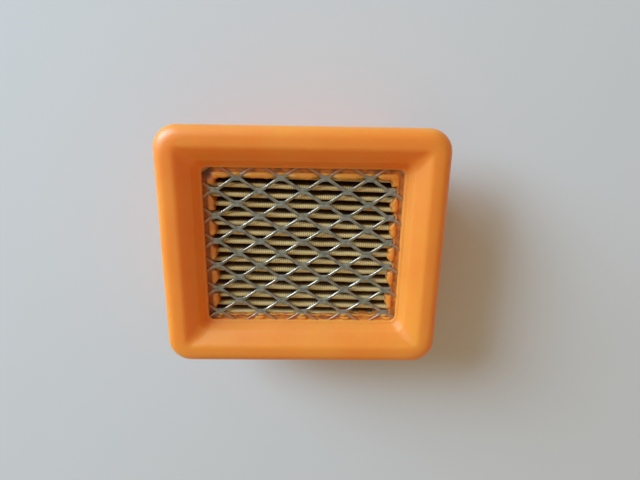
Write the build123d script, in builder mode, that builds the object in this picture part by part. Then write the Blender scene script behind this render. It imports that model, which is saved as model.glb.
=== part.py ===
from build123d import *

import math
import os

# Panel air filter cartridge for a small engine, in millimetres.
# It lies on its back: +X runs along the pleats (the long side), +Y across them, and +Z
# leaves the sealing face. The origin is the middle of the rear face, which it rests on.

# ---- Overall sizes ---------------------------------------------------------------------
face_length = 98.0              # sealing face along X
face_width = 85.6               # sealing face along Y
overall_depth = 32.0            # rear face to sealing face

# ---- Sealing flange --------------------------------------------------------------------
flange_height = 8.5             # thickness of the overhanging lip
flange_draft = 3.0              # degrees, narrower towards the rear
face_corner_radius = 7.8        # outline corner, seen from the front
crest_edge_radius = 3.6         # round between the side and the sealing crest
underside_edge_radius = 1.5

# ---- Recess in the sealing face, measured inwards from the outline and down from the crest
crest_width = 7.0               # outline to the top of the bevel
bevel_width = 4.5
bevel_drop = 3.5
bevel_corner_radius = 0.9       # outline corner at the top of the bevel
crest_bevel_radius = 3.0        # round between the crest and the bevel
wall_width = 2.85               # steeper wall inside the bevel
wall_drop = 3.4
crease_corner_radius = 3.2      # outline corner where the bevel meets the wall
window_corner_radius = 2.4
lip_height = 0.4                # upright lip between the wall and the screen
passage_corner_radius = 1.5     # corners of the air passage behind the screen

# ---- Pleated sheet ---------------------------------------------------------------------
pleat_pitch = 3.42
paper_thickness = 0.6
fold_width = 0.95               # middle line of the sheet, across one fold
fold_radius = 0.45
pack_offset_y = -0.86           # the pack settles a little off centre in its mould
pack_skew = -1.15               # degrees about +Z
ledge_width = 3.3               # the moulding reaches in past the window under the screen
potting_depth = 2.0             # how far the moulding holds the pack and the screen
screen_gap = 0.3                # fold tips to the back of the screen
rear_recess = 2.0               # rear fold tips up from the rear face

# ---- Expanded metal screen -------------------------------------------------------------
screen_thickness = 0.8
opening_length = 15.24          # bond to bond along X
opening_width = 9.136           # bond to bond along Y
strand_width = 0.95
opening_corner_radius = 0.9
lattice_offset_y = 2.07         # a row of bonds lies this far from the middle

# ---- Body behind the flange ------------------------------------------------------------
body_wall = 4.4                 # wall around the potted pack
body_corner_radius = 6.0
body_draft = 1.0                # degrees, narrower towards the rear
flange_root_radius = 1.5        # round between the body and the flange
rear_edge_radius = 1.5

# ---- Glue beads across the rear folds --------------------------------------------------
bead_width = 2.2
bead_cover = 0.5                # glue standing proud of the fold tips
bead_depth = 1.6                # glue reaching in between the folds
bead_spacing = 21.0
bead_setback = 0.4              # bead end to the edge of the air passage

# ---- Worked-out sizes ------------------------------------------------------------------
window_inset = crest_width + bevel_width + wall_width
window_length = face_length - 2 * window_inset
window_width = face_width - 2 * window_inset
screen_top = overall_depth - bevel_drop - wall_drop - lip_height
screen_back = screen_top - screen_thickness
screen_length = window_length + 2 * potting_depth
screen_width = window_width + 2 * potting_depth

passage_length = window_length - 2 * ledge_width
passage_width = window_width - 2 * ledge_width
front_tips = screen_back - screen_gap
least_pack_width = passage_width + 2 * abs(pack_offset_y) + pleat_pitch / 2
pleat_count = math.ceil(least_pack_width / pleat_pitch)
pack_width = pleat_count * pleat_pitch
pack_length = passage_length + 2 * potting_depth
pack_half_width = pack_width / 2 + abs(pack_offset_y)

flange_base = overall_depth - flange_height
draft_angle = math.radians(flange_draft)
draft_growth = 2 * crest_edge_radius * (1 - math.sin(draft_angle)) * math.tan(draft_angle)
body_length = pack_length + 2 * body_wall
body_width = 2 * (pack_half_width + body_wall)

os.makedirs("parts", exist_ok=True)


def folded_line():
    """Corner points of the sheet's middle line, as (across, height)."""
    low = rear_recess + paper_thickness / 2
    high = front_tips - paper_thickness / 2
    left_end = -pack_width / 2
    points = [(left_end, low)]
    for count in range(pleat_count):
        tip = left_end + (count + 0.5) * pleat_pitch
        foot = tip + pleat_pitch / 2
        points.append((tip - fold_width / 2, high))
        points.append((tip + fold_width / 2, high))
        if count < pleat_count - 1:
            points.append((foot - fold_width / 2, low))
            points.append((foot + fold_width / 2, low))
    points.append((-left_end, low))
    return points


def opening_centres():
    """Middles of the screen's openings, from one edge of the sheet to the other."""
    columns = math.ceil(screen_length / opening_length) + 1
    rows = math.ceil(screen_width / opening_width) + 2
    centres = []
    for column in range(-2 * columns, 2 * columns + 1):
        for row in range(-2 * rows, 2 * rows + 1):
            x = column * opening_length / 2
            y = lattice_offset_y + row * opening_width / 2
            outside = abs(x) > screen_length / 2 + opening_length / 2
            outside = outside or abs(y) > screen_width / 2 + opening_width / 2
            if (column + row) % 2 and not outside:
                centres.append((x, y))
    return centres


def half_opening():
    """Half lengths of one diamond, after half a strand is taken off each side."""
    half_x = opening_length / 2
    half_y = opening_width / 2
    strand_run = half_x * half_y / math.hypot(half_x, half_y)
    left_open = 1 - strand_width / 2 / strand_run
    return half_x * left_open, half_y * left_open


def edges_within(builder, outline, height):
    """Edges that lie at one height, inside or on a rectangle about the Z axis."""
    slack = 0.01
    at_height = builder.edges().filter_by_position(Axis.Z, height - slack, height + slack)
    half_x = outline[0] / 2 + slack
    half_y = outline[1] / 2 + slack
    inside = at_height.filter_by_position(Axis.X, -half_x, half_x)
    return inside.filter_by_position(Axis.Y, -half_y, half_y)


# ---- Pleated sheet: one strip of paper folded to and fro -------------------------------
skew = math.radians(pack_skew)
pleat_plane = Plane(
    origin=(0, pack_offset_y, 0),
    x_dir=(-math.sin(skew), math.cos(skew), 0),
    z_dir=(math.cos(skew), math.sin(skew), 0),
)
with BuildPart() as pleated_paper:
    with BuildSketch(pleat_plane):
        with BuildLine():
            FilletPolyline(*folded_line(), radius=fold_radius)
        trace(line_width=paper_thickness)
    extrude(amount=pack_length / 2, both=True)
pleated_paper.part.label = "pleated_paper"

# ---- Screen: a flat sheet with rows of diamond openings --------------------------------
half_open_x, half_open_y = half_opening()
with BuildPart() as front_screen:
    with BuildSketch(Plane.XY.offset(screen_back)):
        Rectangle(screen_length, screen_width)
    extrude(amount=screen_thickness)
    with BuildSketch(Plane.XY.offset(screen_back)):
        with Locations(*opening_centres()):
            Polygon(
                (-half_open_x, 0),
                (0, -half_open_y),
                (half_open_x, 0),
                (0, half_open_y),
            )
        fillet(vertices(), radius=opening_corner_radius)
    extrude(amount=screen_thickness, mode=Mode.SUBTRACT)
front_screen.part.label = "front_screen"

# ---- Moulded frame: flange, body and recess, cast around the pack and the screen -------
bevel_top = (face_length - 2 * crest_width, face_width - 2 * crest_width)
crease = (bevel_top[0] - 2 * bevel_width, bevel_top[1] - 2 * bevel_width)
with BuildPart() as seal_frame:
    with BuildSketch(Plane.XY.offset(overall_depth)):
        RectangleRounded(
            face_length + draft_growth,
            face_width + draft_growth,
            face_corner_radius,
        )
    extrude(amount=-flange_height, taper=flange_draft)
    rim = seal_frame.edges().group_by(Axis.Z)
    fillet(rim[0], radius=underside_edge_radius)
    fillet(seal_frame.edges().group_by(Axis.Z)[-1], radius=crest_edge_radius)
    with BuildSketch(Plane.XY.offset(flange_base)):
        RectangleRounded(body_length, body_width, body_corner_radius)
    extrude(amount=-flange_base, taper=body_draft)
    fillet(seal_frame.edges().group_by(Axis.Z)[0], radius=rear_edge_radius)
    fillet(edges_within(seal_frame, (body_length, body_width), flange_base), flange_root_radius)
    with BuildSketch(Plane.XY.offset(overall_depth)):
        RectangleRounded(*bevel_top, bevel_corner_radius)
    with BuildSketch(Plane.XY.offset(overall_depth - bevel_drop)):
        RectangleRounded(*crease, crease_corner_radius)
    loft(mode=Mode.SUBTRACT)
    fillet(edges_within(seal_frame, bevel_top, overall_depth), crest_bevel_radius)
    with BuildSketch(Plane.XY.offset(overall_depth - bevel_drop)):
        RectangleRounded(*crease, crease_corner_radius)
    with BuildSketch(Plane.XY.offset(screen_top + lip_height)):
        RectangleRounded(window_length, window_width, window_corner_radius)
    loft(mode=Mode.SUBTRACT)
    with BuildSketch(Plane.XY.offset(screen_top + lip_height)):
        RectangleRounded(window_length, window_width, window_corner_radius)
    extrude(amount=-lip_height, mode=Mode.SUBTRACT)
    with BuildSketch(Plane.XY.offset(screen_top)):
        RectangleRounded(passage_length, passage_width, passage_corner_radius)
    extrude(amount=-overall_depth, mode=Mode.SUBTRACT)
    add(front_screen.part, mode=Mode.SUBTRACT)
    add(pleated_paper.part, mode=Mode.SUBTRACT)
seal_frame.part.label = "seal_frame"

# ---- Glue beads: lines of hot glue over the rear folds ---------------------------------
# The sheet cuts each line's block into the glue outside it, which is the largest solid and
# is kept, and the scraps inside the folds, where no glue gets to.
bead_names = ["left", "centre", "right"]
beads = {}
for place, bead_name in enumerate(bead_names):
    bead_x = (place - 1) * bead_spacing
    with BuildPart() as spacer_bead:
        with BuildSketch(Plane.XY.offset(rear_recess - bead_cover)):
            with Locations((bead_x, 0)):
                Rectangle(bead_width, passage_width - 2 * bead_setback)
        extrude(amount=bead_cover + bead_depth)
        add(pleated_paper.part, mode=Mode.SUBTRACT)
    outer_bead = spacer_bead.solids().sort_by(SortBy.VOLUME)[-1]
    outer_bead.label = "spacer_bead_" + bead_name
    beads[outer_bead.label] = outer_bead

# ---- One file for each piece -----------------------------------------------------------
export_step(seal_frame.part, "parts/seal_frame.step")
export_step(front_screen.part, "parts/front_screen.step")
export_step(pleated_paper.part, "parts/pleated_paper.step")
for label, bead in beads.items():
    export_step(bead, "parts/" + label + ".step")
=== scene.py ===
# %% [markdown]
# # A panel air filter cartridge for a small engine
# The real object is one polyurethane casting that grips three other things: a sheet of
# expanded steel, a pack of folded paper, and lines of hot glue behind the folds. The
# packed model already has every piece at its true size and place. This lesson loads it,
# keeps it fixed, and builds a finer visible piece around each node.

# %% Load the fixed frame
import math

import bpy
import bmesh
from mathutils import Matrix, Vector, noise


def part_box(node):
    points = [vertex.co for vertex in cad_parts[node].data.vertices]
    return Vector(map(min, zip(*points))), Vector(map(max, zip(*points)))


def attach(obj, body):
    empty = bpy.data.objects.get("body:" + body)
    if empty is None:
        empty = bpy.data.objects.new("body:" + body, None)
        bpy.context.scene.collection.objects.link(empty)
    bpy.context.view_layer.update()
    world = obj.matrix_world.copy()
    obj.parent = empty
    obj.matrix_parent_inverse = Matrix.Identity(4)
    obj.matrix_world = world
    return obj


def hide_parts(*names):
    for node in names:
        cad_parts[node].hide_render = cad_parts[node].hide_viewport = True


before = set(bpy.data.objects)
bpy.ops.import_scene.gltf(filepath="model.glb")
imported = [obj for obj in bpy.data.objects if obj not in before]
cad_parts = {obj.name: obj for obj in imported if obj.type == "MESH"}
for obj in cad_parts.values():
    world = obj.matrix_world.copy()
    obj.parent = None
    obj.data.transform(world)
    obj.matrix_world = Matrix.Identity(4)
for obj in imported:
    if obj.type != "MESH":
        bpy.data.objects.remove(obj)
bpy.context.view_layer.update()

print("nodes:", sorted(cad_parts))

# %% [markdown]
# ## Sizes
# Blender works in metres here, and the object is a few centimetres across, so every size
# below is a number of millimetres times `MM`. What a node's box can tell is read from it.
# The rest repeats the driving sizes of the part, such as the widths of the moulded steps
# and the spacing of the screen's bonds. Sizes of one piece alone come with that piece.

# %% Sizes that the pieces share
MM = 0.001
frame_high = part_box("seal_frame")[1]
screen_low, screen_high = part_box("front_screen")
paper_low, paper_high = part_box("pleated_paper")

HALF_X = round(frame_high.x / MM) * MM
HALF_Y = round(frame_high.y / MM, 1) * MM
TOP = frame_high.z
CREST_WIDTH = 7.0 * MM
BEVEL_WIDTH = 4.5 * MM
BEVEL_DROP = 3.5 * MM
WALL_WIDTH = 2.85 * MM
WALL_DROP = 3.4 * MM
WINDOW_INSET = CREST_WIDTH + BEVEL_WIDTH + WALL_WIDTH
WINDOW_X = HALF_X - WINDOW_INSET
WINDOW_Y = HALF_Y - WINDOW_INSET
WINDOW_CORNER = 2.4 * MM
SCREEN_MIDDLE = (screen_low.z + screen_high.z) / 2

BOND_X = 15.24 * MM
BOND_Y = 9.136 * MM
LATTICE_Y = 2.07 * MM
print("window, mm:", round(2 * WINDOW_X / MM, 2), "x", round(2 * WINDOW_Y / MM, 2))

# %% [markdown]
# ## Writing nodes as sums
# Node trees are long to write one link at a time. They could be drawn by hand in the
# editor, but a script can be read and run again. `Wire` wraps one output of a node, and
# arithmetic on it adds Math nodes, so a mask reads like a formula. Each operator also has
# its reflected form, for a plain number on the left, as in `1 - mask`.

# %% A wire
class Wire:
    """One output of a node, which can be used in sums."""

    def __init__(self, board, socket):
        self.board = board
        self.socket = socket

    def maths(self, operation, *terms):
        inputs = dict(enumerate(terms))
        return self.board.add("ShaderNodeMath", {"operation": operation}, inputs)

    def __add__(self, other):
        return self.maths("ADD", self, other)

    def __sub__(self, other):
        return self.maths("SUBTRACT", self, other)

    def __rsub__(self, other):
        return self.maths("SUBTRACT", other, self)

    def __mul__(self, other):
        return self.maths("MULTIPLY", self, other)

    def __truediv__(self, other):
        return self.maths("DIVIDE", self, other)

    def __mod__(self, other):
        return self.maths("FLOORED_MODULO", self, other)

    def __rtruediv__(self, other):
        return self.maths("DIVIDE", other, self)

    def __rmod__(self, other):
        return self.maths("FLOORED_MODULO", other, self)

    __radd__ = __add__
    __rmul__ = __mul__

    def unary(self, operation):
        """This alone through a Math operation, such as ABSOLUTE or SINE."""
        return self.maths(operation, self)

    def at_least(self, other):
        """This or other, whichever is more."""
        return self.maths("MAXIMUM", self, other)

    def at_most(self, other):
        """This or other, whichever is less."""
        return self.maths("MINIMUM", self, other)

    def below(self, other):
        """1 where this is less than other, and 0 elsewhere."""
        return self.maths("LESS_THAN", self, other)

    def ramp(self, low, high, to_low=0.0, to_high=1.0):
        """Goes smoothly from to_low to to_high while this goes from low to high."""
        settings = {"interpolation_type": "SMOOTHSTEP"}
        inputs = {0: self, 1: low, 2: high, 3: to_low, 4: to_high}
        return self.board.add("ShaderNodeMapRange", settings, inputs)


print("a Wire has:", ", ".join(name for name in vars(Wire) if name[0] != "_"))

# %% [markdown]
# `Board.add` makes any other node from its type, its settings and what goes into its
# sockets. The rest of `Board` is short names for the nodes that come up most. The same
# two classes serve shader trees and geometry trees, because Math nodes exist in both.

# %% A board
class Board:
    """Adds nodes to one tree."""

    def __init__(self, tree):
        self.tree = tree

    def add(self, kind, settings=None, inputs=None, output=0):
        """A node of this kind: its settings first, then a value or a wire for each socket."""
        node = self.tree.nodes.new(kind)
        for name, value in (settings or {}).items():
            setattr(node, name, value)
        for name, value in (inputs or {}).items():
            if isinstance(value, Wire):
                self.tree.links.new(value.socket, node.inputs[name])
            else:
                node.inputs[name].default_value = value
        return Wire(self, node.outputs[output]) if node.outputs else None

    def split(self, vector):
        """The x, y and z wires of a vector."""
        parts = self.add("ShaderNodeSeparateXYZ", inputs={0: vector})
        node = parts.socket.node
        return [Wire(self, node.outputs[axis]) for axis in range(3)]

    def join(self, x=0.0, y=0.0, z=0.0):
        """A vector from three wires or numbers."""
        return self.add("ShaderNodeCombineXYZ", inputs={0: x, 1: y, 2: z})

    def mix(self, factor, first, second):
        """A colour between two others, by the numbers of a Mix node's colour sockets."""
        inputs = {0: factor, 6: first, 7: second}
        return self.add("ShaderNodeMix", {"data_type": "RGBA"}, inputs, output=2)

    def noise(self, vector, scale, detail=2.0, rough=0.5):
        inputs = {"Vector": vector, "Scale": scale, "Detail": detail, "Roughness": rough}
        return self.add("ShaderNodeTexNoise", inputs=inputs)


print("a Board has:", ", ".join(name for name in vars(Board) if name[0] != "_"))

# %% [markdown]
# ## Materials
# Each finish is one Principled shader whose colour, roughness and height change a little
# over the surface. All patterns read Object coordinates, which are metres in this scene,
# so a noise scale of 1000 has features about a millimetre across.

# %% A helper that starts and closes a material
def start_material(name):
    """A material with an empty board, and the wire of its Object coordinates."""
    material = bpy.data.materials.new(name)
    material.use_nodes = True
    material.node_tree.nodes.clear()
    board = Board(material.node_tree)
    place = board.add("ShaderNodeTexCoord", output="Object")
    return material, board, place


def close_material(board, colour, roughness, height, bump_depth, fixed=None):
    """Joins what varies to a Principled shader, and sets what is the same all over."""
    bump_inputs = {"Height": height, "Distance": bump_depth, "Strength": 1.0}
    bump = board.add("ShaderNodeBump", inputs=bump_inputs)
    inputs = {"Base Color": colour, "Roughness": roughness, "Normal": bump}
    inputs.update(fixed or {})
    shader = board.add("ShaderNodeBsdfPrincipled", inputs=inputs)
    board.add("ShaderNodeOutputMaterial", inputs={"Surface": shader})


print("materials before the first finish:", len(bpy.data.materials))

# %% [markdown]
# Two of the finishes change near the edge of the window, where casting and screen meet.
# They both measure from that edge, so the distance is worked out in one place.

# %% Distance from the window's edge
def from_window_edge(x, y):
    """How far inside the window's short and long edges a point lies, below 0 outside it."""
    return WINDOW_X - x.unary("ABSOLUTE"), WINDOW_Y - y.unary("ABSOLUTE")


print("window reaches, mm:", round(WINDOW_X / MM, 2), round(WINDOW_Y / MM, 2))

# %% [markdown]
# ### Browning and painted shade round the screen
# The thin foam around the screen that lies below the screen's top is browner than the rest of the
# casting, in patches. On the left side, which the left wall shades from the window, the foam is
# darker still as painted shade, and darkest in its two left corners, where painted shade fills the
# hollows. An image could be painted for that. Masks are lighter and have no seams: they fade out
# below the screen and just above it, and stop at the window's edge.

# %% Browning and painted shade round the screen
BORDER_MASK_FOOT = screen_low.z - 1.6 * MM
BORDER_MASK_TOP = screen_high.z + 0.15 * MM


def border_browning_and_shade(board, place, colour):
    """Browns the foam around the screen in patches, paints shade on its left side and in its left
    corners, and leaves the rest of the casting alone.
    """
    x, y, z = board.split(place)
    from_short_edge, from_long_edge = from_window_edge(x, y)
    inside = from_short_edge.at_most(from_long_edge).ramp(0.0, 0.25 * MM)
    near_screen = z.ramp(BORDER_MASK_FOOT, screen_low.z - 0.4 * MM)
    patches = board.noise(place, 420.0, 3.0, 0.6).ramp(0.35, 0.65, 0.35, 1.0)
    sunken = z.ramp(screen_high.z - 0.35 * MM, screen_high.z, 1.0, 0.0) * near_screen
    colour = board.mix(inside * patches * sunken * 0.8, colour, (0.24, 0.055, 0.006, 1))
    under_lip = z.ramp(screen_high.z, BORDER_MASK_TOP, 1.0, 0.0) * near_screen
    # Painted shade: the left side of the border, which the left wall shades from the window light,
    # is darkened.
    left_wall_shade = x.ramp(-WINDOW_X, -WINDOW_X + 6.0 * MM, 0.75, 0.0) * inside
    colour = board.mix(left_wall_shade * under_lip, colour, (0.36, 0.075, 0.008, 1))
    # Painted shade: the hollows in the two left corners of the window are darkened nearly to
    # black-brown.
    left_corner_shade = from_short_edge.ramp(2.4 * MM, 4.8 * MM, 1.0, 0.0)
    left_corner_shade = left_corner_shade * from_long_edge.ramp(2.4 * MM, 4.8 * MM, 1.0, 0.0) * x.below(0.0)
    return board.mix(left_corner_shade * inside * under_lip * 0.85, colour, (0.09, 0.03, 0.008, 1))


print("browning and painted shade reach from", round(BORDER_MASK_FOOT / MM, 2), "to", round(BORDER_MASK_TOP / MM, 2), "mm up")

# %% [markdown]
# ### Polyurethane
# The casting skin copies a polished mould, so it is smooth and half glossy. What gives
# it away as a soft casting is a slow unevenness, a faint orange-peel, tiny pits, and
# colour that is a little paler or redder from place to place. One plain orange would look
# like paint. Light also soaks into it, so it has subsurface scattering, which carries red
# light round the edges. Below the bevel the skin is rougher.

# %% Polyurethane
def make_polyurethane():
    material, board, place = start_material("polyurethane_skin")
    cloud = board.noise(place, 45.0, 3.0)
    peel = board.noise(place, 900.0, 2.0)
    ripple = board.noise(place, 160.0, 2.0)
    pits = board.noise(place, 2600.0, 1.0).ramp(0.70, 0.78)
    tone = cloud.ramp(0.3, 0.7)
    colour = board.mix(tone, (0.93, 0.282, 0.028, 1), (0.98, 0.322, 0.036, 1))
    colour = board.mix(pits * 0.35, colour, (0.55, 0.13, 0.01, 1))
    # Patchy browning round the screen, with painted shade on its left side and in its left
    # corners.
    colour = border_browning_and_shade(board, place, colour)
    wall_top = TOP - BEVEL_DROP
    unpolished = board.split(place)[2].ramp(wall_top, wall_top + 0.8 * MM, 1.0, 0.0)
    roughness = 0.36 + cloud * 0.08 + peel * 0.05 + unpolished * 0.16
    height = ripple * 0.6 + peel * 0.16 - pits * 0.25
    fixed = {
        "IOR": 1.62,
        "Subsurface Weight": 0.8,
        "Subsurface Radius": (1.0, 0.42, 0.08),
        "Subsurface Scale": 8.0 * MM,
    }
    close_material(board, colour, roughness, height, 0.06 * MM, fixed)
    return material


polyurethane = make_polyurethane()
print("made", polyurethane.name)

# %% [markdown]
# ### Zinc-coated steel
# The screen is thin steel with a dull zinc coat: grey with a green-blue cast, blotchy on
# the scale of a strand, and glossier where the slitting knife left a clean edge. Those raised
# edges are also painted near white, as a painted highlight where the window light catches them.
# That edge could be a second material on chosen faces. Here it is a mask by height instead, since
# only the raised edge of a tipped strand stands that high, and the painted highlight is strongest
# on the strands that climb to the right, whose raised edges face the window. Next to the window's
# edge the casting has wetted the strands, so there the metal turns orange and dull.

# %% Zinc-coated steel
RAISED_EDGE_HEIGHT = SCREEN_MIDDLE + 0.30 * MM


def rising_strand(x, y):
    """1 on the strands that climb to the right, less on the others and at the bonds."""
    across = x / (BOND_X / 2)
    along = (y - LATTICE_Y) / (BOND_Y / 2)
    from_rising = ((along - across + 1.0) % 2.0 - 1.0).unary("ABSOLUTE")
    from_falling = ((along + across + 1.0) % 2.0 - 1.0).unary("ABSOLUTE")
    return (from_falling - from_rising).ramp(-0.1, 0.35, 0.15, 1.0)


def make_zinc():
    material, board, place = start_material("zinc_steel")
    x, y, z = board.split(place)
    spangle = board.noise(place, 700.0, 3.0, 0.6)
    scratch_place = board.join(x * 0.25, y, z)
    scratch = board.noise(scratch_place, 5000.0, 2.0)
    tone = spangle.ramp(0.35, 0.65)
    colour = board.mix(tone, (0.23, 0.25, 0.205, 1), (0.37, 0.38, 0.325, 1))
    from_short_edge, from_long_edge = from_window_edge(x, y)
    from_edge = from_short_edge.at_most(from_long_edge)
    ragged = from_edge + (spangle - 0.5) * (3.0 * MM)
    wetted = ragged.ramp(0.8 * MM, 3.4 * MM, 0.85, 0.0)
    colour = board.mix(wetted, colour, (0.50, 0.19, 0.06, 1))
    # Painted highlight: raised edges, mostly on strands that climb to the right, are painted near
    # white; the lower roughness and the extra metal stand for the clean shear edge.
    clean_edge_and_glint = (z + (scratch - 0.5) * (0.12 * MM)).ramp(RAISED_EDGE_HEIGHT, RAISED_EDGE_HEIGHT + 0.1 * MM)
    clean_edge_and_glint = clean_edge_and_glint * (1.0 - wetted) * rising_strand(x, y)
    colour = board.mix(clean_edge_and_glint, colour, (0.86, 0.85, 0.76, 1))
    metal = 0.6 - wetted * 0.6 + clean_edge_and_glint * 0.3
    roughness = 0.34 + tone * 0.14 + scratch * 0.08 - clean_edge_and_glint * 0.08
    height = spangle * 0.5 + scratch * 0.5
    close_material(board, colour, roughness, height, 0.03 * MM, {"Metallic": metal})
    return material


zinc = make_zinc()
print("made", zinc.name)

# %% [markdown]
# ### Filter paper
# Resin-cured cellulose is tan, matt and fibrous. It is corrugated across the folds before
# it is pleated, which shows as fine ribs along every fold. The ribs are far too many to
# model, so a sine wave along the folds makes them, in the bump, and in the colour as painted
# shade in the troughs. The resin is darker in some streaks than in others. The flanks between
# the folds are painted far darker than the tips, as painted shade for the deep narrow gaps, so
# the colour also follows the depth.

# %% Filter paper
RIB_PITCH = 0.72 * MM


def make_paper():
    material, board, place = start_material("filter_paper")
    x, y, z = board.split(place)
    wander = board.noise(place, 220.0, 2.0)
    ribs = ((x / RIB_PITCH + wander * 0.7) * (2 * math.pi)).unary("SINE")
    fibre_place = board.join(x * 0.35, y, z)
    fibres = board.noise(fibre_place, 3800.0, 4.0, 0.65)
    streaks = board.noise(board.join(x * 0.3, y, z), 260.0, 3.0)
    tone = streaks.ramp(0.3, 0.7)
    colour = board.mix(tone, (0.57, 0.37, 0.13, 1), (0.77, 0.56, 0.235, 1))
    # Painted shade in the troughs of the ribs.
    rib_trough_shade = ribs.ramp(-1.0, 0.2, 0.25, 0.0)
    colour = board.mix(rib_trough_shade, colour, (0.36, 0.23, 0.07, 1))
    colour = board.mix(fibres.ramp(0.5, 0.8) * 0.35, colour, (0.88, 0.76, 0.45, 1))
    below_front = paper_high.z - z
    above_rear = z - paper_low.z
    from_tip = below_front.at_most(above_rear) + (streaks - 0.5) * (1.6 * MM)
    # Painted shade: the paper darkens with depth below the tips, down in the gaps between folds.
    gap_shade = from_tip.ramp(0.5 * MM, 2.4 * MM, 0.0, 0.93)
    colour = board.mix(gap_shade, colour, (0.13, 0.05, 0.012, 1))
    roughness = 0.78 + fibres * 0.15
    height = ribs * 0.35 + fibres * 0.5
    close_material(board, colour, roughness, height, 0.10 * MM)
    return material


paper_finish = make_paper()
print("made", paper_finish.name)

# %% [markdown]
# ### Hot glue
# The spacer lines are amber glue: cloudy, a little glossy, with soft lumps. Real glue is
# half clear, but over tan paper a cloudy opaque colour looks the same and renders faster.

# %% Hot glue
def make_glue():
    material, board, place = start_material("hot_glue")
    cloud = board.noise(place, 350.0, 3.0)
    fine = board.noise(place, 1800.0, 2.0)
    colour = board.mix(cloud, (0.62, 0.42, 0.16, 1), (0.78, 0.62, 0.34, 1))
    roughness = 0.30 + fine * 0.15
    close_material(board, colour, roughness, cloud * 0.7 + fine * 0.3, 0.12 * MM)
    return material


glue = make_glue()
print("made", glue.name)

# %% [markdown]
# ## The moulded frame
# The frame is one loop of casting whose cross-section stays nearly the same all the way
# round: sealing crest, a bevel and a steeper wall down to the screen, the overhanging
# flange, the body behind it, and the air passage. It could be cut with booleans, but a sweep
# gives clean smooth shading. Each row of the sweep is a rounded rectangle. The corner
# radius changes from row to row, because the bevel is mitred while the outline is round.

# %% Rows of the sweep
SIDE_STEPS = {"x": 190, "y": 164}
CORNER_STEPS = 14


def ring_spots():
    """Places round a rounded rectangle, as (corner, part of its arc, part of the side)."""
    spots = []
    for corner in range(4):
        for step in range(CORNER_STEPS):
            spots.append((corner, step / CORNER_STEPS, 0.0))
        side_steps = SIDE_STEPS["x" if corner % 2 else "y"]
        for step in range(side_steps):
            spots.append((corner, 1.0, step / side_steps))
    return spots


def on_ring(spot, half_x, half_y, radius):
    """The point at one spot of a rounded rectangle, and the direction outwards there."""
    corner, arc_part, side_part = spot
    reach_x, reach_y = half_x - radius, half_y - radius
    signs = [(1, -1), (1, 1), (-1, 1), (-1, -1)]
    here, there = signs[corner], signs[(corner + 1) % 4]
    angle = math.radians(90 * (corner - 1 + arc_part))
    outward = Vector((math.cos(angle), math.sin(angle)))
    start = Vector((here[0] * reach_x, here[1] * reach_y))
    end = Vector((there[0] * reach_x, there[1] * reach_y))
    return start.lerp(end, side_part) + radius * outward, outward


SPOTS = ring_spots()
print("places round the frame:", len(SPOTS))

# %% [markdown]
# The cross-section is drawn as a few corners, each with the radius that the mould gives
# it, and `rounded_line` swaps every corner for an arc. Insets are measured inwards from
# the outline, heights up from the rear face. A Bevel modifier could round the edges of a
# finished mesh, but it would need a weight on every edge, because each has its own radius.

# %% Corners that become arcs
def rounded_line(corners, arc_steps=6):
    """(inset, height, ring radius) points of a line whose corners become arcs."""
    line = []
    for before, corner, after in zip(corners, corners[1:], corners[2:]):
        point = Vector(corner[:2])
        back = (Vector(before[:2]) - point).normalized()
        ahead = (Vector(after[:2]) - point).normalized()
        half_angle = back.angle(ahead) / 2
        radius = max(corner[2], 0.01 * MM)
        run = radius / math.tan(half_angle)
        middle = point + (back + ahead).normalized() * radius / math.sin(half_angle)
        first = point + back * run - middle
        last = point + ahead * run - middle
        for step in range(arc_steps + 1):
            spoke = first.slerp(last, step / arc_steps).normalized() * radius
            line.append((*(middle + spoke), corner[3]))
    return line


square = rounded_line([(0, 1), (0, 0, 0.1, 0), (1, 0)])
print("points on one rounded corner:", len(square))

# %% [markdown]
# The body is nearer to the outline on the long sides than on the short ones, so the
# section is drawn once for each. The bevel bulges a little at its middle, and the flange
# and the body both narrow towards the rear, so that they leave their mould. The passage is
# wider on the long sides than in the packed part, so that its wall doesn't cut the last
# fold.

# %% Cross-section
FLANGE_HEIGHT = 8.5 * MM
LEDGE_WIDTH = 3.3 * MM
PASSAGE_X = WINDOW_X - LEDGE_WIDTH
PASSAGE_Y = WINDOW_Y - LEDGE_WIDTH
BODY_INSET_X = 11.25 * MM
BODY_INSET_Y = 10.18 * MM
PASSAGE_INSET_X = HALF_X - PASSAGE_X
PASSAGE_INSET_Y = HALF_Y - PASSAGE_Y - 1.6 * MM
PASSAGE_TOP = 22.9 * MM
FLANGE_DRAFT = math.radians(3.0)
BODY_DRAFT = math.radians(1.0)
LIP_TOP = TOP - BEVEL_DROP - WALL_DROP
WALL_FOOT = 13.45 * MM
CREASE_INSET = CREST_WIDTH + BEVEL_WIDTH + 0.15 * MM
BEVEL_MIDDLE = 9.4 * MM


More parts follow.
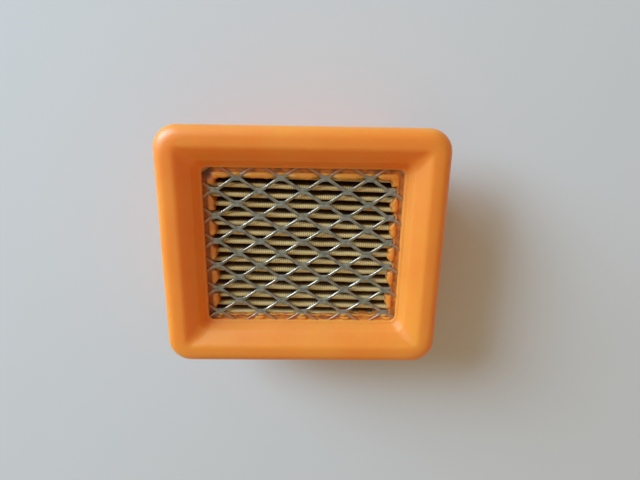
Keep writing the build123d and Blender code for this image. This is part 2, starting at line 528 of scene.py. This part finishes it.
def frame_section(body_inset, passage_inset):
    """(inset, height, arc, ring radius) corners, from the lip over the crest to the passage."""
    base = TOP - FLANGE_HEIGHT
    flange_foot = math.tan(FLANGE_DRAFT) * FLANGE_HEIGHT
    body_foot = body_inset + base * math.tan(BODY_DRAFT)
    return [
        (WINDOW_INSET, screen_high.z, 0.0, WINDOW_CORNER),
        (WINDOW_INSET - 0.02 * MM, LIP_TOP + 0.05 * MM, 0.28 * MM, WINDOW_CORNER),
        (WALL_FOOT, LIP_TOP + 0.33 * MM, 0.5 * MM, 2.7 * MM),
        (CREASE_INSET, TOP - BEVEL_DROP - 0.05 * MM, 0.6 * MM, 3.4 * MM),
        (BEVEL_MIDDLE, TOP - 1.73 * MM, 6.0 * MM, 2.9 * MM),
        (CREST_WIDTH, TOP, 3.2 * MM, 2.1 * MM),
        (-0.01 * MM, TOP, 3.6 * MM, 7.8 * MM),
        (flange_foot, base, 1.5 * MM, 7.4 * MM),
        (body_inset, base, 1.5 * MM, 6.0 * MM),
        (body_foot, 0.0, 1.5 * MM, 5.6 * MM),
        (passage_inset, 0.0, 0.5 * MM, 1.5 * MM),
        (passage_inset, PASSAGE_TOP, 0.0, 1.5 * MM),
    ]


print("corners of the section:", len(frame_section(BODY_INSET_X, PASSAGE_INSET_X)))

# %% [markdown]
# ## Where the casting reached the screen
# The foam rose through the openings along the edge of the screen and set there. Seen from
# the front, a straight groove runs just inside the lip, where the mould's lip pinched the
# strands, and beyond it the foam stands up as a row of pillows, one for each opening,
# with a ragged inner edge. Pillows could be sculpted one by one. They follow the lattice,
# though, so here their height and reach are functions of the distance to the nearest
# strand, and a smooth noise makes each one differ.

# %% Distance to the lattice, and the foam's reach
def smooth_part(value, low, high):
    """0 below low, 1 above high, and a smooth change between."""
    part = min(max((value - low) / (high - low), 0.0), 1.0)
    return part * part * (3 - 2 * part)


def strand_distance(x, y):
    """From a point to the middle of the nearest strand."""
    half_x, half_y = BOND_X / 2, BOND_Y / 2
    apart = half_x * half_y / math.hypot(half_x, half_y)
    across, along = x / half_x, (y - LATTICE_Y) / half_y
    rising = abs((along - across + 1) % 2 - 1)
    falling = abs((along + across + 1) % 2 - 1)
    return apart * min(rising, falling)


def side_shares(outward):
    """How much a place belongs to a short side, to the far side and to the near side."""
    return abs(outward.x) ** 2, max(outward.y, 0.0) ** 2, max(-outward.y, 0.0) ** 2


def foam_reach(x, y, outward):
    """How far the foam comes in from the window's edge here."""
    open_part = smooth_part(strand_distance(x, y), 0.4 * MM, 1.9 * MM)
    short_side, far_side, near_side = side_shares(outward)
    short_reach = 2.5 * MM + 1.7 * MM * open_part
    far_reach = 3.3 * MM + 0.7 * MM * open_part
    near_reach = 2.9 * MM - 0.5 * MM * open_part
    wobble = noise.noise(Vector((x, y, 0.0)) / (1.7 * MM) + Vector((3.1, 7.7, 0.4)))
    reach = short_side * short_reach + far_side * far_reach + near_side * near_reach
    return reach + 0.45 * MM * wobble


reach_at_right = foam_reach(30 * MM, 10 * MM, Vector((1, 0)))
print("foam's reach on the right, mm:", round(reach_at_right / MM, 2))

# %% [markdown]
# The foam isn't equally high all round. It rose most on the far side. On the near side it
# is low between the bonds, but a lump stands at each bond. In the two left corners of
# the window it fell short, and left hollows.

# %% Height of the foam
def bond_lump(x, outward):
    """1 under the middle of a bond on the near side, and 0 between bonds."""
    from_bond = abs((x / BOND_X + 0.5) % 1 - 0.5) * BOND_X
    return side_shares(outward)[2] * (1 - smooth_part(from_bond, 0.7 * MM, 2.4 * MM))


def corner_hollow(x, y):
    """1 in the two left corners of the window, which the foam didn't fill."""
    at_left = smooth_part(-x, WINDOW_X - 5.0 * MM, WINDOW_X - 2.4 * MM)
    return at_left * smooth_part(abs(y), WINDOW_Y - 5.0 * MM, WINDOW_Y - 2.4 * MM)


def foam_height(x, y, outward):
    """Height of a pillow's crown above the groove here."""
    clear = smooth_part(strand_distance(x, y), 0.25 * MM, 1.5 * MM)
    wide_open = smooth_part(strand_distance(x, y), 1.2 * MM, 3.0 * MM)
    far_side, near_side = side_shares(outward)[1:]
    lump = noise.noise(Vector((x, y, 0.0)) / (2.3 * MM) + Vector((9.2, 1.3, 5.0)))
    rise = 0.10 * MM + 0.55 * MM * clear - 0.45 * MM * near_side * wide_open
    rise += 0.28 * MM * far_side + 0.50 * MM * bond_lump(x, outward) + 0.20 * MM * lump
    return rise - 0.7 * MM * corner_hollow(x, y)


crown_at_right = foam_height(30.5 * MM, 15.8 * MM, Vector((1, 0)))
print("pillow's crown on the right, mm:", round(crown_at_right / MM, 2))

# %% [markdown]
# The border's own rows run from the foot of the lip, across the groove, over the pillows
# and down to the air passage. A row's points are moved one by one, so the row wavers
# where the foam does. Separate blobs would be quicker to place, but as rows the foam is
# part of the casting, with no seam where they meet.

# %% The groove's rows
GROOVE_WIDTH = 1.6 * MM
GROOVE_DEPTH = 0.62 * MM
GROOVE_FLOOR = screen_high.z - GROOVE_DEPTH
GROOVE_ROWS = [0.2, 0.5, 0.8]


def border_radius(depth):
    """Corner radius this far in from the window's edge."""
    return max(WINDOW_CORNER - 0.45 * depth, 1.2 * MM)


def border_point(spot, depth, height):
    """A point of the border, this far in from the window's edge."""
    half_x, half_y = WINDOW_X - depth, WINDOW_Y - depth
    place = on_ring(spot, half_x, half_y, border_radius(depth))[0]
    return (place.x, place.y, height)


def groove_points(spot, middle, outward):
    """From the foot of the lip across the groove, which the bonds' lumps fill."""
    points = [border_point(spot, 0.0, GROOVE_FLOOR + 0.1 * MM)]
    for part in GROOVE_ROWS:
        grain = noise.noise(Vector((middle.x, middle.y, part)) / (0.9 * MM))
        filled = GROOVE_DEPTH * bond_lump(middle.x, outward)
        height = GROOVE_FLOOR + 0.06 * MM * grain + filled
        points.append(border_point(spot, GROOVE_WIDTH * part, height))
    points.append(border_point(spot, GROOVE_WIDTH * 0.97, GROOVE_FLOOR))
    return points


print("the groove's floor is", round(GROOVE_FLOOR / MM, 2), "mm up")

# %% [markdown]
# A pillow is a dome across the border, flatter on top than a circle, whose crown is
# `foam_height`. Its rows stand closer together at both ends, where it curves the most.
# A last row drops past the screen's back, so that no gap shows under the pillow.

# %% The pillows' rows
FOAM_MIDDLE = 2.6 * MM
FOAM_CORNER = 1.4 * MM
PILLOW_ROWS = [0.0, 0.03, 0.1, 0.22, 0.36, 0.5, 0.64, 0.78, 0.9, 0.97, 1.0]


def pillow_points(spot, reach):
    """From the groove over the pillow and down its inner edge."""
    points = []
    for part in PILLOW_ROWS:
        depth = GROOVE_WIDTH + part * (reach - GROOVE_WIDTH)
        place, outward = on_ring(spot, WINDOW_X - depth, WINDOW_Y - depth, border_radius(depth))
        crown = foam_height(place.x, place.y, outward)
        dome = math.sqrt(max(1 - abs(2 * part - 1) ** 2.6, 0.0))
        drop = 0.35 * MM * part ** 6
        points.append((place.x, place.y, GROOVE_FLOOR + crown * dome - drop))
    points.append(border_point(spot, reach - 0.1 * MM, GROOVE_FLOOR - 0.9 * MM))
    return points


def border_column(spot):
    """Points across the border at one place round the frame, from the lip to the passage."""
    half_x, half_y = WINDOW_X - FOAM_MIDDLE, WINDOW_Y - FOAM_MIDDLE
    middle, outward = on_ring(spot, half_x, half_y, FOAM_CORNER)
    reach = foam_reach(middle.x, middle.y, outward)
    return groove_points(spot, middle, outward) + pillow_points(spot, reach)


print("rows across the border:", len(border_column(SPOTS[0])))

# %% [markdown]
# Two helpers serve every piece from here on. One turns the faces of a closed shell
# outwards, because a sweep can come out inside out. The other makes an object of a mesh,
# gives it its finish, and tells the frame which body it rides on and what it replaces.

# %% Keep a finished piece
def outward_faces(mesh):
    """Turns every closed shell's faces outwards."""
    shell = bmesh.new()
    shell.from_mesh(mesh)
    bmesh.ops.recalc_face_normals(shell, faces=shell.faces)
    shell.to_mesh(mesh)
    shell.free()
    return mesh


def add_piece(name, mesh, material, slot, *nodes):
    """A finished piece in place of its nodes, riding on the one body."""
    piece = bpy.data.objects.new(name, mesh)
    bpy.context.scene.collection.objects.link(piece)
    mesh.materials.clear()
    mesh.materials.append(material)
    for face in mesh.polygons:
        face.use_smooth = True
    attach(piece, "root")
    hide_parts(*nodes)
    return piece


print("helpers are ready")

# %% [markdown]
# The sweep joins the rows with quads and closes on itself, so the casting is one
# watertight ring. Real castings are never quite true: a slow ripple of a few hundredths
# of a millimetre is added along the outward direction, which keeps long highlights from
# looking ruled.

# %% Build the casting
RIPPLE_LENGTH = 19 * MM
RIPPLE_DEPTH = 0.05 * MM


def casting_column(spot, section_x, section_y):
    """All points of the cross-section at one place round the frame."""
    column = []
    for (inset_x, height, radius), from_y in zip(section_x, section_y):
        place, outward = on_ring(spot, HALF_X - inset_x, HALF_Y - from_y[0], radius)
        ripple = noise.noise(Vector((place.x, place.y, height)) / RIPPLE_LENGTH)
        place -= outward * RIPPLE_DEPTH * (1 + ripple)
        column.append((place.x, place.y, height))
    return border_column(spot)[::-1] + column


def build_casting():
    section_x = rounded_line(frame_section(BODY_INSET_X, PASSAGE_INSET_X))
    section_y = rounded_line(frame_section(BODY_INSET_Y, PASSAGE_INSET_Y))
    columns = [casting_column(spot, section_x, section_y) for spot in SPOTS]
    rows = len(columns[0])
    points = [point for column in columns for point in column]
    faces = []
    for place in range(len(columns)):
        after = (place + 1) % len(columns)
        for row in range(rows):
            above = (row + 1) % rows
            corners = [(place, row), (after, row), (after, above), (place, above)]
            faces.append([column * rows + level for column, level in corners])
    mesh = bpy.data.meshes.new("cast_frame")
    mesh.from_pydata(points, [], faces)
    return outward_faces(mesh)


cast_frame = add_piece(
    "cast_frame", build_casting(), polyurethane, "polyurethane", "seal_frame"
)
print("casting faces:", len(cast_frame.data.polygons))

# %% [markdown]
# ## Geometry Nodes helpers
# The screen, the paper and the beads repeat by a rule, so trees make them. `start_tree`
# opens a tree with a named input for each size. `grow` puts the tree on a throwaway
# object, sets each input by its identifier, evaluates it once and keeps a plain mesh.

# %% Start a tree and grow a mesh
def start_tree(name, sizes):
    """A geometry tree with one float input for each size, and wires to them."""
    tree = bpy.data.node_groups.new(name, "GeometryNodeTree")
    for size in sizes:
        tree.interface.new_socket(size, in_out="INPUT", socket_type="NodeSocketFloat")
    tree.interface.new_socket("Mesh", in_out="OUTPUT", socket_type="NodeSocketGeometry")
    board = Board(tree)
    entry = board.add("NodeGroupInput").socket.node
    wires = {size: Wire(board, entry.outputs[size]) for size in sizes}
    return board, wires


def grow(board, result, sizes, material):
    """Closes a tree with Realize Instances and Set Material, and returns its mesh."""
    whole = board.add("GeometryNodeRealizeInstances", inputs={0: result})
    inputs = {"Geometry": whole, "Material": material}
    painted = board.add("GeometryNodeSetMaterial", inputs=inputs)
    board.add("NodeGroupOutput", inputs={0: painted})
    empty = bpy.data.meshes.new(board.tree.name)
    carrier = bpy.data.objects.new(board.tree.name, empty)
    bpy.context.scene.collection.objects.link(carrier)
    modifier = carrier.modifiers.new(board.tree.name, "NODES")
    modifier.node_group = board.tree
    for item in board.tree.interface.items_tree:
        if item.in_out == "INPUT":
            modifier[item.identifier] = sizes[item.name]
    depsgraph = bpy.context.evaluated_depsgraph_get()
    mesh = bpy.data.meshes.new_from_object(carrier.evaluated_get(depsgraph))
    carrier.modifiers.remove(modifier)
    bpy.data.objects.remove(carrier)
    return mesh


print("tree helpers are ready")

# %% [markdown]
# ## The expanded metal screen
# Expanded metal is one sheet that is slit and pulled, so its strands never cross. Each
# row is a zigzag ribbon that is joined to the rows above and below at flat bonds. One
# zigzag is a curve with a flat profile. Diamonds cut from a plate would be simpler, but
# they would look flat, without the bright tipped edges of the real strands.

# %% One zigzag row as a curve
ROWS_BELOW = 7
SCREEN_SIZES = {
    "Bond spacing": BOND_X,
    "Row spacing": BOND_Y / 2,
    "Strand width": 1.15 * MM,
    "Strand thickness": 0.5 * MM,
    "Strand edge radius": 0.08 * MM,
    "Bond length": 2.3 * MM,
    "Bond offset": 0.48 * MM,
    "Corner radius": 1.3 * MM,
    "Station spacing": 0.45 * MM,
    "Louvre angle": math.radians(28),
    "Lowest row": LATTICE_Y - ROWS_BELOW * BOND_Y / 2,
    "Height": SCREEN_MIDDLE,
}
ZIGZAG_BONDS = 11
SCREEN_ROWS = 13


def zigzag_curve(board, size):
    """A row's middle line, with two points at each bond."""
    line = board.add("GeometryNodeMeshLine", inputs={"Count": 2 * ZIGZAG_BONDS})
    index = board.add("GeometryNodeInputIndex")
    bond = (index / 2.0).unary("FLOOR")
    end = index % 2.0
    first_x = (ZIGZAG_BONDS - 1) / -2
    x = (bond + first_x) * size["Bond spacing"] / 2.0
    x = x + (end - 0.5) * size["Bond length"]
    up = bond % 2.0
    rise = size["Row spacing"] - size["Bond offset"] * 2.0
    y = up * rise + size["Bond offset"]
    place = board.join(x, y, 0.0)
    inputs = {"Geometry": line, "Position": place}
    placed = board.add("GeometryNodeSetPosition", inputs=inputs)
    curve = board.add("GeometryNodeMeshToCurve", inputs={"Mesh": placed})
    inputs = {"Curve": curve, "Radius": size["Corner radius"], "Count": 4}
    rounded = board.add("GeometryNodeFilletCurve", {"mode": "POLY"}, inputs)
    settings = {"mode": "LENGTH"}
    inputs = {"Curve": rounded, "Length": size["Station spacing"]}
    return board.add("GeometryNodeResampleCurve", settings, inputs)


print("screen inputs:", len(SCREEN_SIZES))

# %% [markdown]
# Pulling the sheet also tips each strand about its length, like a louvre, with the upper
# edge raised. A curve has a tilt at each of its points, so the tip is a tilt here, which
# fades out at the bonds and leaves them flat.

# %% Tip the strands
def louvred(board, curve, size):
    """Tips the ribbon between its bonds and leaves the bonds flat."""
    settings = {"mode": "Z_UP"}
    upright = board.add("GeometryNodeSetCurveNormal", settings, {"Curve": curve})
    place = board.add("GeometryNodeInputPosition")
    across = board.split(place)[1]
    from_middle = (across / size["Row spacing"] - 0.5).unary("ABSOLUTE")
    free = from_middle.ramp(0.16, 0.40, 1.0, 0.0)
    tilt = free * size["Louvre angle"]
    return board.add("GeometryNodeSetCurveTilt", inputs={"Curve": upright, "Tilt": tilt})


print("strands tip by", round(math.degrees(SCREEN_SIZES["Louvre angle"])), "degrees")

# %% [markdown]
# The ribbon is made once, and each row is an instance of it, a row's height above the last
# and shifted by half a diamond in turn. So the rows meet at their bonds. An Array modifier
# repeats a mesh too, but it can't shift every second row.

# %% Rows of zigzags
def build_screen():
    board, size = start_tree("screen_rows", SCREEN_SIZES)
    row = louvred(board, zigzag_curve(board, size), size)
    inputs = {"Width": size["Strand width"], "Height": size["Strand thickness"]}
    flat = board.add("GeometryNodeCurvePrimitiveQuadrilateral", inputs=inputs)
    inputs = {"Curve": flat, "Radius": size["Strand edge radius"], "Count": 2}
    profile = board.add("GeometryNodeFilletCurve", {"mode": "POLY"}, inputs)
    inputs = {"Curve": row, "Profile Curve": profile, "Fill Caps": True}
    ribbon = board.add("GeometryNodeCurveToMesh", inputs=inputs)
    index = board.add("GeometryNodeInputIndex")
    shift = (index % 2.0) * size["Bond spacing"] / -2.0
    up = size["Lowest row"] + index * size["Row spacing"]
    line = board.add("GeometryNodeMeshLine", inputs={"Count": SCREEN_ROWS})
    inputs = {"Geometry": line, "Position": board.join(shift, up, size["Height"])}
    starts = board.add("GeometryNodeSetPosition", inputs=inputs)
    inputs = {"Points": starts, "Instance": ribbon}
    rows = board.add("GeometryNodeInstanceOnPoints", inputs=inputs)
    return outward_faces(grow(board, rows, SCREEN_SIZES, zinc))


expanded_screen = add_piece(
    "expanded_screen", build_screen(), zinc, "zinc_steel", "front_screen"
)
print("screen faces:", len(expanded_screen.data.polygons))

# %% [markdown]
# ## The pleated paper
# One strip of paper is folded to and fro, and its ends are potted in the casting. The
# section is a square wave with rounded corners. It is swept along the pack's length, then
# the folds are pushed about a little, because no folded pack is straight, and the paper
# gets its thickness from a Solidify modifier. Cloth simulation could fold it too, but it
# wouldn't keep the pitch.

# %% Folded section
PLEATS = 16
PITCH = 3.42 * MM
PAPER = 0.6 * MM
PACK_Y = -0.86 * MM
POTTED_ENDS = 1.8 * MM
PAPER_SIZES = {
    "Pitch": PITCH,
    "Fold width": 0.95 * MM,
    "Fold radius": 0.42 * MM,
    "Lowest fold": paper_low.z + PAPER / 2,
    "Highest fold": paper_high.z - PAPER / 2,
    "Length": 2 * (PASSAGE_X + POTTED_ENDS),
    "Skew": math.radians(-1.15),
    "Offset": PACK_Y,
    "Sideways push": 0.8 * MM,
    "Downward push": 0.5 * MM,
    "Free within": 22.0 * MM,
    "Held beyond": 24.5 * MM,
}


def folded_curve(board, size):
    """The section as a curve in X and Y, with four corners to each pleat."""
    line = board.add("GeometryNodeMeshLine", inputs={"Count": 4 * PLEATS + 2})
    index = board.add("GeometryNodeInputIndex") + 1.0
    pleat = (index / 4.0).unary("FLOOR")
    corner = index % 4.0
    high = (corner - 2.5).unary("ABSOLUTE").below(1.0)
    later = (corner % 2.0) * 2.0 - 1.0
    fold = pleat + high * 0.5
    across = (fold - PLEATS / 2.0) * size["Pitch"] + later * size["Fold width"] / 2.0
    height = size["Lowest fold"] + high * (size["Highest fold"] - size["Lowest fold"])
    inputs = {"Geometry": line, "Position": board.join(across, height, 0.0)}
    placed = board.add("GeometryNodeSetPosition", inputs=inputs)
    curve = board.add("GeometryNodeMeshToCurve", inputs={"Mesh": placed})
    inputs = {"Curve": curve, "Radius": size["Fold radius"], "Count": 3}
    return board.add("GeometryNodeFilletCurve", {"mode": "POLY"}, inputs)


print("folds:", PLEATS, "each", round(PITCH / MM, 2), "mm apart")

# %% [markdown]
# Sweeping the section along a straight line gives flat folds. Two noises then push every
# point a little sideways and down. They vary slowly, so both faces of a fold move
# together, and the pack keeps its gaps. The first and last folds stay straight, since the
# casting holds them. Folds could be sculpted by hand, but a noise bends them all at once.

# %% Push the folds about
def crumpled(board, sheet, size):
    """Moves the folds sideways a few tenths, and lowers some of the tips."""
    place = board.add("GeometryNodeInputPosition")
    x, y, z = board.split(place)
    sideways = board.noise(board.join(x, y, z * 0.2), 95.0, 2.0) - 0.5
    free = y.unary("ABSOLUTE").ramp(size["Free within"], size["Held beyond"], 1.0, 0.0)
    across = sideways * free * size["Sideways push"]
    lowered = board.noise(board.join(x * 0.6, y, 3.0), 120.0, 1.0)
    offset = board.join(0.0, across, lowered * size["Downward push"] * -1.0)
    return board.add("GeometryNodeSetPosition", inputs={"Geometry": sheet, "Offset": offset})


print("folds move sideways by at most", round(PAPER_SIZES["Sideways push"] / 2 / MM, 2), "mm")

# %% [markdown]
# The section is drawn in X and Y, so its heights lie along Y. The sweep would stand it on
# its head, so it is flipped first. At the end the pack is turned and moved to where it
# lies in the casting. Solidify makes the paper a tenth thinner than in the packed part,
# which leaves a little air where two folds lean together.

# %% Sweep the section
PAPER_STATIONS = 100


def build_paper():
    board, size = start_tree("pleated_sheet", PAPER_SIZES)
    section = folded_curve(board, size)
    inputs = {"Geometry": section, "Scale": (1, -1, 1)}
    upright = board.add("GeometryNodeTransform", inputs=inputs)
    start = board.join(size["Length"] * 0.5, 0.0, 0.0)
    end = board.join(size["Length"] * -0.5, 0.0, 0.0)
    line = board.add("GeometryNodeCurvePrimitiveLine", inputs={"Start": start, "End": end})
    inputs = {"Curve": line, "Count": PAPER_STATIONS}
    stations = board.add("GeometryNodeResampleCurve", inputs=inputs)
    settings = {"mode": "Z_UP"}
    spine = board.add("GeometryNodeSetCurveNormal", settings, {"Curve": stations})
    inputs = {"Curve": spine, "Profile Curve": upright}
    sheet = board.add("GeometryNodeCurveToMesh", inputs=inputs)
    inputs = {
        "Geometry": crumpled(board, sheet, size),
        "Translation": board.join(0.0, size["Offset"], 0.0),
        "Rotation": board.join(0.0, 0.0, size["Skew"]),
    }
    placed = board.add("GeometryNodeTransform", inputs=inputs)
    return grow(board, placed, PAPER_SIZES, paper_finish)


paper = add_piece(
    "folded_paper", build_paper(), paper_finish, "filter_paper", "pleated_paper"
)
THINNED = 0.9
thicken = paper.modifiers.new("paper_thickness", "SOLIDIFY")
thicken.thickness = PAPER * THINNED
thicken.offset = 0.0
print("paper faces before thickness:", len(paper.data.polygons))

# %% [markdown]
# ## The glue lines
# Three lines of hot glue cross the rear folds and keep them apart. A gun lays each one in
# a single pass, so it swells where it bridges a gap between two folds and thins over the
# tips. A plain bevelled curve would look like a rod. So the tree scales a round profile
# along a line with a wave of the same pitch as the folds, plus a slow noise.

# %% Glue lines
GLUE_END_ROOM = 0.8 * MM
GLUE_ROOM_FOR_LUMPS = 0.93


def glue_thickness(board, size):
    """The radius of a line: waves with the folds, slow lumps, and blunt ends."""
    place = board.add("GeometryNodeInputPosition")
    y = board.split(place)[1]
    turns = (y - size["Offset"]) / size["Pitch"] * (2 * math.pi)
    swell = turns.unary("COSINE") * size["Swell"]
    lumps = board.noise(place, 300.0, 2.0) * size["Lumps"]
    from_end = size["Half length"] - y.unary("ABSOLUTE")
    blunt = from_end.ramp(-0.6 * MM, 1.0 * MM, 0.55, 1.0)
    return (0.84 + swell + lumps) * blunt * size["Radius"]


def build_glue_line(low, high):
    sizes = {
        "Middle": (low.x + high.x) / 2,
        "Height": (low.z + high.z) / 2,
        "Half length": (high.y - low.y) / 2 - GLUE_END_ROOM,
        "Radius": (high.x - low.x) / 2 * GLUE_ROOM_FOR_LUMPS,
        "Swell": 0.10,
        "Lumps": 0.28,
        "Pitch": PITCH,
        "Offset": PACK_Y,
    }
    board, size = start_tree("glue_line", sizes)
    start = board.join(size["Middle"], size["Half length"] * -1.0, size["Height"])
    end = board.join(size["Middle"], size["Half length"], size["Height"])
    line = board.add("GeometryNodeCurvePrimitiveLine", inputs={"Start": start, "End": end})
    stations = board.add("GeometryNodeResampleCurve", inputs={"Curve": line, "Count": 150})
    settings = {"mode": "Z_UP"}
    spine = board.add("GeometryNodeSetCurveNormal", settings, {"Curve": stations})
    inputs = {"Resolution": 16, "Radius": 1.0}
    ring = board.add("GeometryNodeCurvePrimitiveCircle", inputs=inputs)
    inputs = {
        "Curve": spine,
        "Profile Curve": ring,
        "Scale": glue_thickness(board, size),
        "Fill Caps": True,
    }
    tube = board.add("GeometryNodeCurveToMesh", inputs=inputs)
    return outward_faces(grow(board, tube, sizes, glue))


for side in ("left", "centre", "right"):
    node = "spacer_bead_" + side
    bead = add_piece("glue_line_" + side, build_glue_line(*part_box(node)), glue, "hot_glue", node)
    print(bead.name, "faces:", len(bead.data.polygons))

# %% [markdown]
# ## Floor
# The cartridge lies on a plain pale surface. One flat colour would look like empty space,
# so the floor is fine and matt with the faintest mottling. It is large, so that its edge
# is far off even when the camera is low.

# %% Floor
def make_floor():
    material, board, place = start_material("pale_floor")
    mottle = board.noise(place, 12.0, 3.0)
    fine = board.noise(place, 1500.0, 2.0)
    colour = board.mix(mottle, (0.70, 0.70, 0.69, 1), (0.73, 0.73, 0.72, 1))
    close_material(board, colour, 0.75 + fine * 0.1, fine, 0.01 * MM)
    mesh = bpy.data.meshes.new("floor")
    far = 3.0
    corners = [(-far, -far, 0), (far, -far, 0), (far, far, 0), (-far, far, 0)]
    mesh.from_pydata(corners, [], [(0, 1, 2, 3)])
    floor = bpy.data.objects.new("floor", mesh)
    bpy.context.scene.collection.objects.link(floor)
    mesh.materials.append(material)
    return floor


floor = make_floor()
print("floor is", floor.dimensions.x, "m wide")

# %% [markdown]
# ## Light
# One soft cool source stands low, to the left and beyond the cartridge, as a window of the
# room would. It is large and not far away, so the shadows have soft edges and the rounded
# mouldings carry wide highlights. A small lamp or a sun would give hard shadows.

# %% Daylight
DAYLIGHT_PLACE = Vector((-1.32, 0.91, 0.71))
DAYLIGHT_TARGET = Vector((0.0, 0.0, 0.015))

daylight = bpy.data.lights.new("window_light", "AREA")
daylight.shape = "RECTANGLE"
daylight.size, daylight.size_y = (0.82, 1.05)
daylight.energy = 45.0
daylight.color = (0.56, 0.78, 1.0)
window_light = bpy.data.objects.new("window_light", daylight)
window_light.location = DAYLIGHT_PLACE
facing = DAYLIGHT_TARGET - DAYLIGHT_PLACE
window_light.rotation_euler = facing.to_track_quat("-Z", "Y").to_euler()
bpy.context.scene.collection.objects.link(window_light)
print("daylight is", round(facing.length, 2), "m away, at", daylight.energy, "W")

# %% [markdown]
# A dim surround fills the shadows. It could be one flat colour, but then the sides away
# from the window would look dead. So it is brighter overhead, bluish around the window,
# warm across the room from it, and plain pale grey where the camera sees it.

# %% Surround
TO_WINDOW = Vector((-0.71, 0.70))
ACROSS_ROOM = Vector((0.75, -0.66))

world = bpy.data.worlds.new("surround")
world.use_nodes = True
surround = world.node_tree.nodes["Background"]
sky = Board(world.node_tree)
seen = sky.add("ShaderNodeLightPath", output="Is Camera Ray")
east, north, upwards = sky.split(sky.add("ShaderNodeTexCoord", output="Generated"))
room = sky.mix(upwards.at_least(0.0), (0.11, 0.070, 0.035, 1), (0.47, 0.355, 0.225, 1))
warmth = (east * ACROSS_ROOM.x + north * ACROSS_ROOM.y).ramp(0.45, 1.0, 0.0, 0.45)
room = sky.mix(warmth, room, (0.95, 0.62, 0.30, 1))
coolness = (east * TO_WINDOW.x + north * TO_WINDOW.y).ramp(0.55, 1.0)
glow = sky.mix(coolness, room, (0.85, 1.12, 1.30, 1))
fill = sky.mix(seen, glow, (0.58, 0.59, 0.60, 1))
world.node_tree.links.new(fill.socket, surround.inputs["Color"])
surround.inputs["Strength"].default_value = 1.0
bpy.context.scene.world = world
bpy.context.scene.view_settings.view_transform = "Standard"
print("surround nodes:", len(world.node_tree.nodes))

# %% [markdown]
# ## Camera
# The camera stands nearly above the sealing face, a little towards the far long side. It
# is under 20 cm away and has a short lens, so the edge that is nearest to it looks larger
# than the others.

# %% Camera
camera_data = bpy.data.cameras.new("camera")
camera_data.lens = 27.31
camera_data.sensor_width = 36.0
camera_data.clip_start = 0.005
camera = bpy.data.objects.new("camera", camera_data)
camera.location = (0.00207, 0.05561, 0.18837)
camera.rotation_euler = [math.radians(turn) for turn in (-17.84, -1.044, 1.058)]
bpy.context.scene.collection.objects.link(camera)
bpy.context.scene.camera = camera
print("camera height, mm:", round(camera.location.z / MM))

# %% Finish
bpy.context.view_layer.update()
